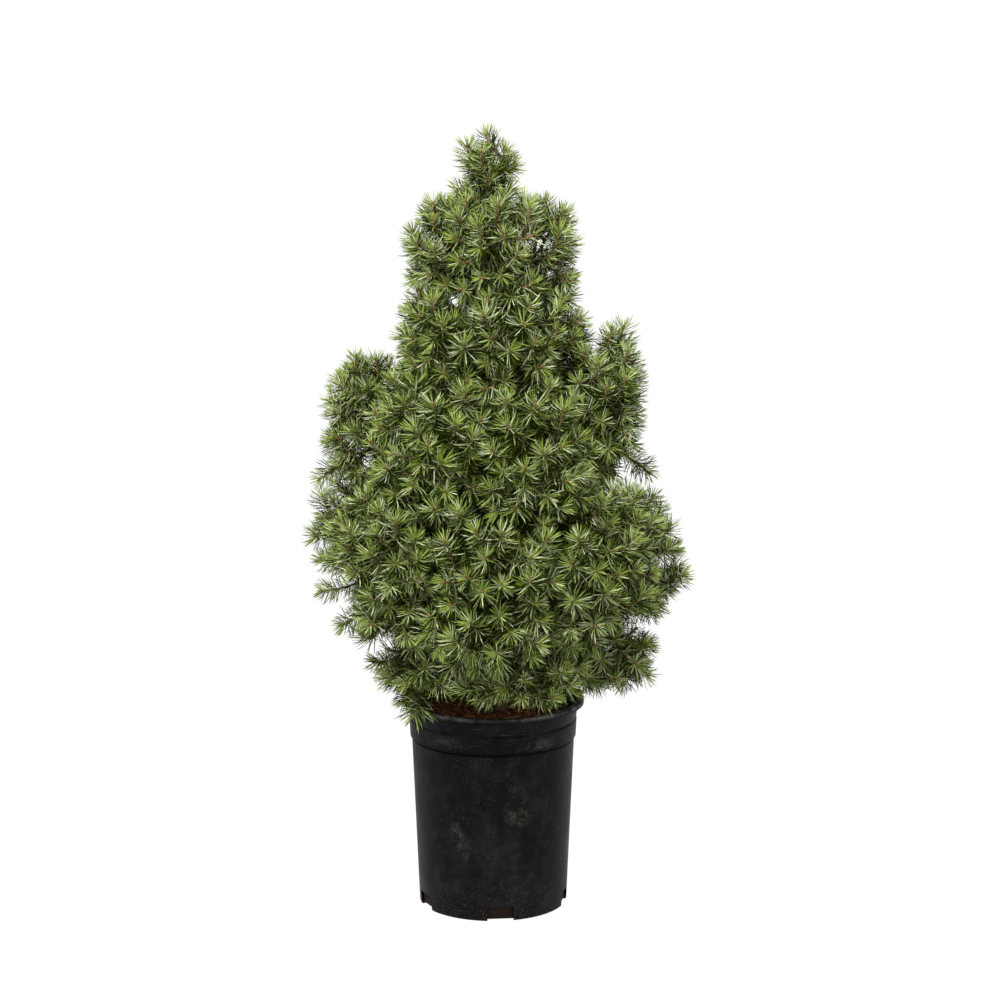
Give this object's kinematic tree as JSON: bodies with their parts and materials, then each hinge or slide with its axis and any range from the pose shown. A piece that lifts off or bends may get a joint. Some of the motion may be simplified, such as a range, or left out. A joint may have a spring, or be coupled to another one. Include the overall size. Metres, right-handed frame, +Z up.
{
  "type": "potted dwarf spruce",
  "caption": "Dense, conical dwarf conifer with short needles, growing in a tapered black nursery pot that stands on its flat underside.",
  "frame": {"origin": "centre of the pot's flat underside, on the surface that it stands on", "axes": "+Z up along the pot's axis and the trunk; -Y is the side the picture is taken from; +X is the picture's right"},
  "size_m": [0.3631, 0.3417, 0.7367],
  "materials": {
    "black_plastic": "satin black injection-moulded plastic, dusty and scuffed",
    "potting_mix": "moist, crumbly bark and peat",
    "bark": "rough red-brown bark",
    "needles": "short soft needles, bright yellow-green at the tips and deeper green within"
  },
  "bodies": {
    "root": {"bough_broad_1": "bark", "bough_broad_2": "bark", "bough_broad_3": "bark", "bough_broad_4": "bark", "bough_broad_5": "bark", "bough_broad_6": "bark", "bough_broad_7": "bark", "bough_crest_1": "bark", "bough_crest_2": "bark", "bough_crest_3": "bark", "bough_crest_4": "bark", "bough_shoulder_1": "bark", "bough_shoulder_2": "bark", "bough_shoulder_3": "bark", "bough_shoulder_4": "bark", "bough_shoulder_5": "bark", "bough_shoulder_6": "bark", "bough_skirt_1": "bark", "bough_skirt_2": "bark", "bough_skirt_3": "bark", "bough_skirt_4": "bark", "bough_skirt_5": "bark", "bough_upper_1": "bark", "bough_upper_2": "bark", "bough_upper_3": "bark", "bough_upper_4": "bark", "bough_upper_5": "bark", "broad_1": "needles", "broad_2": "needles", "broad_3": "needles", "broad_4": "needles", "broad_5": "needles", "broad_6": "needles", "broad_7": "needles", "crest_1": "needles", "crest_2": "needles", "crest_3": "needles", "crest_4": "needles", "leader": "needles", "pot": "black_plastic", "shoulder_1": "needles", "shoulder_2": "needles", "shoulder_3": "needles", "shoulder_4": "needles", "shoulder_5": "needles", "shoulder_6": "needles", "skirt_1": "needles", "skirt_2": "needles", "skirt_3": "needles", "skirt_4": "needles", "skirt_5": "needles", "soil": "potting_mix", "trunk": "bark", "upper_1": "needles", "upper_2": "needles", "upper_3": "needles", "upper_4": "needles", "upper_5": "needles"}
  },
  "joints": []
}
